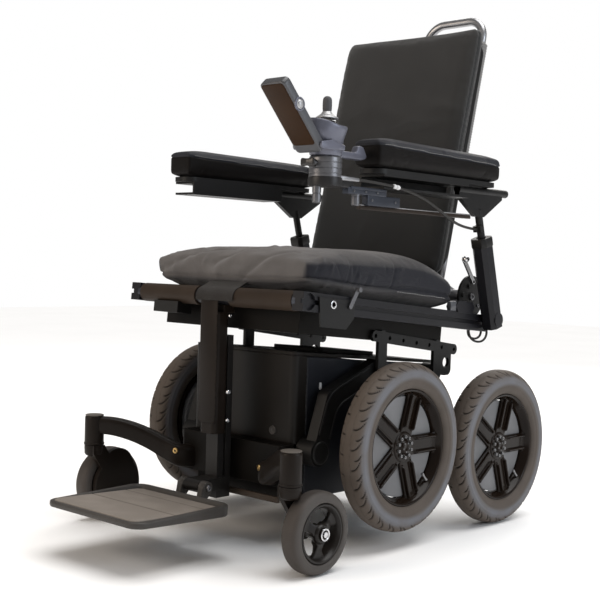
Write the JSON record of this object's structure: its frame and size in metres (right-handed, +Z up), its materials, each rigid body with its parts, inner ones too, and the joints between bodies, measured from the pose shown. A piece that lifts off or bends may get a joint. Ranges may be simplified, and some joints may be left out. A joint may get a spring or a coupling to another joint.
{
  "type": "powered all-terrain wheelchair",
  "caption": "Powered wheelchair with turning wheel clusters, swivel casters, lifting seat, reclining back, flip-up arms, joystick and folding footplate.",
  "frame": {"origin": "on the floor, midway across the width and midway along the length", "axes": "+X to the user's left, +Y to the rear, +Z up"},
  "size_m": [0.6728, 1.1083, 1.1861],
  "materials": {
    "black_cover": "satin",
    "tray": "satin",
    "battery_case": "matte",
    "gear_case": "cast",
    "black_metal": "satin powder coat",
    "steel": "brushed",
    "drive_tyre": "matte",
    "wheel_rim": "gloss",
    "caster_tyre": "matte",
    "brown_tube": "satin",
    "sleeve": "matte",
    "cover_cloth": "matte",
    "pad_skin": "satin",
    "cord": "satin",
    "profile": "anodised",
    "foot_tray": "satin",
    "foot_rubber": "textured",
    "tube_grey": "satin",
    "control_grey": "satin",
    "stick_grey": "ribbed",
    "display_back": "gloss",
    "chrome": "polished"
  },
  "bodies": {
    "chassis": {"base_tray": "tray", "front_cover": "black_cover", "side_covers": "black_cover", "top_cover": "black_cover", "battery_packs": "battery_case", "cluster_gearmotor": "gear_case", "caster_arms": "black_metal"},
    "cluster": {"cluster_shaft": "steel", "cluster_case_left": "black_metal", "cluster_case_right": "black_metal", "hub_motors": "gear_case"},
    "front_left_wheel": {"front_left_tyre": "drive_tyre", "front_left_rim": "wheel_rim"},
    "front_right_wheel": {"front_right_tyre": "drive_tyre", "front_right_rim": "wheel_rim"},
    "rear_left_wheel": {"rear_left_tyre": "drive_tyre", "rear_left_rim": "wheel_rim"},
    "rear_right_wheel": {"rear_right_tyre": "drive_tyre", "rear_right_rim": "wheel_rim"},
    "caster_left": {"caster_fork_left": "black_metal"},
    "caster_right": {"caster_fork_right": "black_metal"},
    "caster_wheel_left": {"caster_hub_left": "wheel_rim", "caster_tyre_left": "caster_tyre"},
    "caster_wheel_right": {"caster_hub_right": "wheel_rim", "caster_tyre_right": "caster_tyre"},
    "front_lift": {"front_lift_arms": "black_metal"},
    "rear_lift": {"rear_lift_arms": "black_metal"},
    "seat": {"side_rails": "black_metal", "cross_tubes": "brown_tube", "tube_sleeves": "sleeve", "seat_pan": "black_metal", "seat_cushion": "cover_cloth", "seat_bars": "black_metal", "rail_bracket": "black_metal", "recline_plates": "black_metal", "junction_box": "black_cover", "seat_harness": "cord", "foot_cover": "black_cover"},
    "release": {"release_lever": "steel"},
    "recline_handle": {"recline_lever": "steel"},
    "foot_post": {"foot_slide": "profile"},
    "foot_plate": {"footplate": "foot_tray", "foot_mat": "foot_rubber"},
    "back": {"back_shell": "black_metal", "back_cushion": "cover_cloth", "back_hoop": "tube_grey"},
    "arm_post_left": {"arm_receiver_left": "black_metal"},
    "arm_post_right": {"arm_receiver_right": "black_metal"},
    "arm_left": {"arm_frame_left": "black_metal", "arm_pad_left": "pad_skin", "stick_mount": "control_grey", "joystick_cable": "cord"},
    "arm_right": {"arm_frame_right": "black_metal", "arm_pad_right": "pad_skin"},
    "knob": {"clamp_knob": "black_metal"},
    "joystick": {"joystick_pod": "control_grey"},
    "boot": {"stick_boot": "cord"},
    "stick": {"joystick_stick": "stick_grey"},
    "display": {"display_flap": "display_back"},
    "button": {"display_button": "chrome"}
  },
  "joints": [
    {"name": "cluster_turn", "type": "hinge", "parent": "chassis", "child": "cluster", "pos_m": [0, 0.1998, 0.19194], "axis": [1, 0, 0], "range_deg": [-75, 25]},
    {"name": "front_left_spin", "type": "hinge", "parent": "cluster", "child": "front_left_wheel", "pos_m": [0.2895, 0.0206, 0.20888], "axis": [1, 0, 0], "continuous": true},
    {"name": "rear_left_spin", "type": "hinge", "parent": "cluster", "child": "rear_left_wheel", "pos_m": [0.2895, 0.379, 0.175], "axis": [1, 0, 0], "continuous": true},
    {"name": "front_right_spin", "type": "hinge", "parent": "cluster", "child": "front_right_wheel", "pos_m": [-0.2895, 0.0206, 0.20888], "axis": [1, 0, 0], "continuous": true},
    {"name": "rear_right_spin", "type": "hinge", "parent": "cluster", "child": "rear_right_wheel", "pos_m": [-0.2895, 0.379, 0.175], "axis": [1, 0, 0], "continuous": true},
    {"name": "caster_swivel_left", "type": "hinge", "parent": "chassis", "child": "caster_left", "pos_m": [0.295, -0.318, 0.2], "axis": [0, 0, 1], "continuous": true},
    {"name": "caster_spin_left", "type": "hinge", "parent": "caster_left", "child": "caster_wheel_left", "pos_m": [0.312, -0.264, 0.079], "axis": [1, 0, 0], "continuous": true},
    {"name": "caster_swivel_right", "type": "hinge", "parent": "chassis", "child": "caster_right", "pos_m": [-0.295, -0.318, 0.2], "axis": [0, 0, 1], "continuous": true},
    {"name": "caster_spin_right", "type": "hinge", "parent": "caster_right", "child": "caster_wheel_right", "pos_m": [-0.312, -0.264, 0.079], "axis": [1, 0, 0], "continuous": true},
    {"name": "seat_lift", "type": "hinge", "parent": "chassis", "child": "rear_lift", "pos_m": [0, 0.07823, 0.17948], "axis": [1, 0, 0], "range_deg": [0, 45]},
    {"name": "front_lift_follow", "type": "hinge", "parent": "chassis", "child": "front_lift", "pos_m": [0, -0.122, 0.197], "axis": [1, 0, 0], "range_deg": [0, 45]},
    {"name": "seat_level", "type": "hinge", "parent": "rear_lift", "child": "seat", "pos_m": [0, 0.25823, 0.34048], "axis": [1, 0, 0], "range_deg": [-45, 0]},
    {"name": "release_turn", "type": "hinge", "parent": "seat", "child": "release", "pos_m": [0.26, -0.12272, 0.498], "axis": [1, 0, 0], "range_deg": [-20, 20]},
    {"name": "recline_release", "type": "hinge", "parent": "seat", "child": "recline_handle", "pos_m": [0.23, 0.35394, 0.54979], "axis": [1, 0, 0], "range_deg": [-15, 15]},
    {"name": "foot_height", "type": "slide", "parent": "seat", "child": "foot_post", "axis": [0, 0, 1], "range_m": [-0.02, 0.04]},
    {"name": "footplate_fold", "type": "hinge", "parent": "foot_post", "child": "foot_plate", "pos_m": [0, -0.286, 0.122], "axis": [-1, 0, 0], "range_deg": [0, 85]},
    {"name": "back_recline", "type": "hinge", "parent": "seat", "child": "back", "pos_m": [0, 0.351, 0.515], "axis": [-1, 0, 0], "range_deg": [0, 30]},
    {"name": "arm_flip_left", "type": "hinge", "parent": "seat", "child": "arm_post_left", "pos_m": [0.278, 0.362, 0.465], "axis": [-1, 0, 0], "range_deg": [0, 90]},
    {"name": "arm_height_left", "type": "slide", "parent": "arm_post_left", "child": "arm_left", "axis": [0, -0.2756, 0.9613], "range_m": [-0.01, 0.06]},
    {"name": "arm_flip_right", "type": "hinge", "parent": "seat", "child": "arm_post_right", "pos_m": [-0.278, 0.362, 0.465], "axis": [-1, 0, 0], "range_deg": [0, 90]},
    {"name": "arm_height_right", "type": "slide", "parent": "arm_post_right", "child": "arm_right", "axis": [0, -0.2756, 0.9613], "range_m": [-0.01, 0.06]},
    {"name": "clamp_turn", "type": "hinge", "parent": "arm_left", "child": "knob", "pos_m": [0.278, -0.273, 0.7696], "axis": [0, 1, 0], "range_deg": [-90, 90]},
    {"name": "joystick_swing", "type": "hinge", "parent": "arm_left", "child": "joystick", "pos_m": [0.278, -0.228, 0.8], "axis": [0, 0, 1], "range_deg": [0, 90]},
    {"name": "stick_pitch", "type": "hinge", "parent": "joystick", "child": "boot", "pos_m": [0.278, -0.228, 0.834], "axis": [1, 0, 0], "range_deg": [-14, 14], "stiffness_Nm_per_rad": 0.4},
    {"name": "stick_roll", "type": "hinge", "parent": "boot", "child": "stick", "pos_m": [0.278, -0.228, 0.834], "axis": [0, 1, 0], "range_deg": [-14, 14], "stiffness_Nm_per_rad": 0.4},
    {"name": "display_tilt", "type": "hinge", "parent": "joystick", "child": "display", "pos_m": [0.278, -0.274, 0.798], "axis": [1, 0, 0], "range_deg": [-10, 35]},
    {"name": "button_press", "type": "slide", "parent": "display", "child": "button", "axis": [-1, 0, 0], "range_m": [0, 0.0015], "stiffness_N_per_m": 400}
  ],
  "couplings": [
    {"joint": "front_lift_follow", "follows": "seat_lift", "ratio": 1},
    {"joint": "seat_level", "follows": "seat_lift", "ratio": -1}
  ]
}
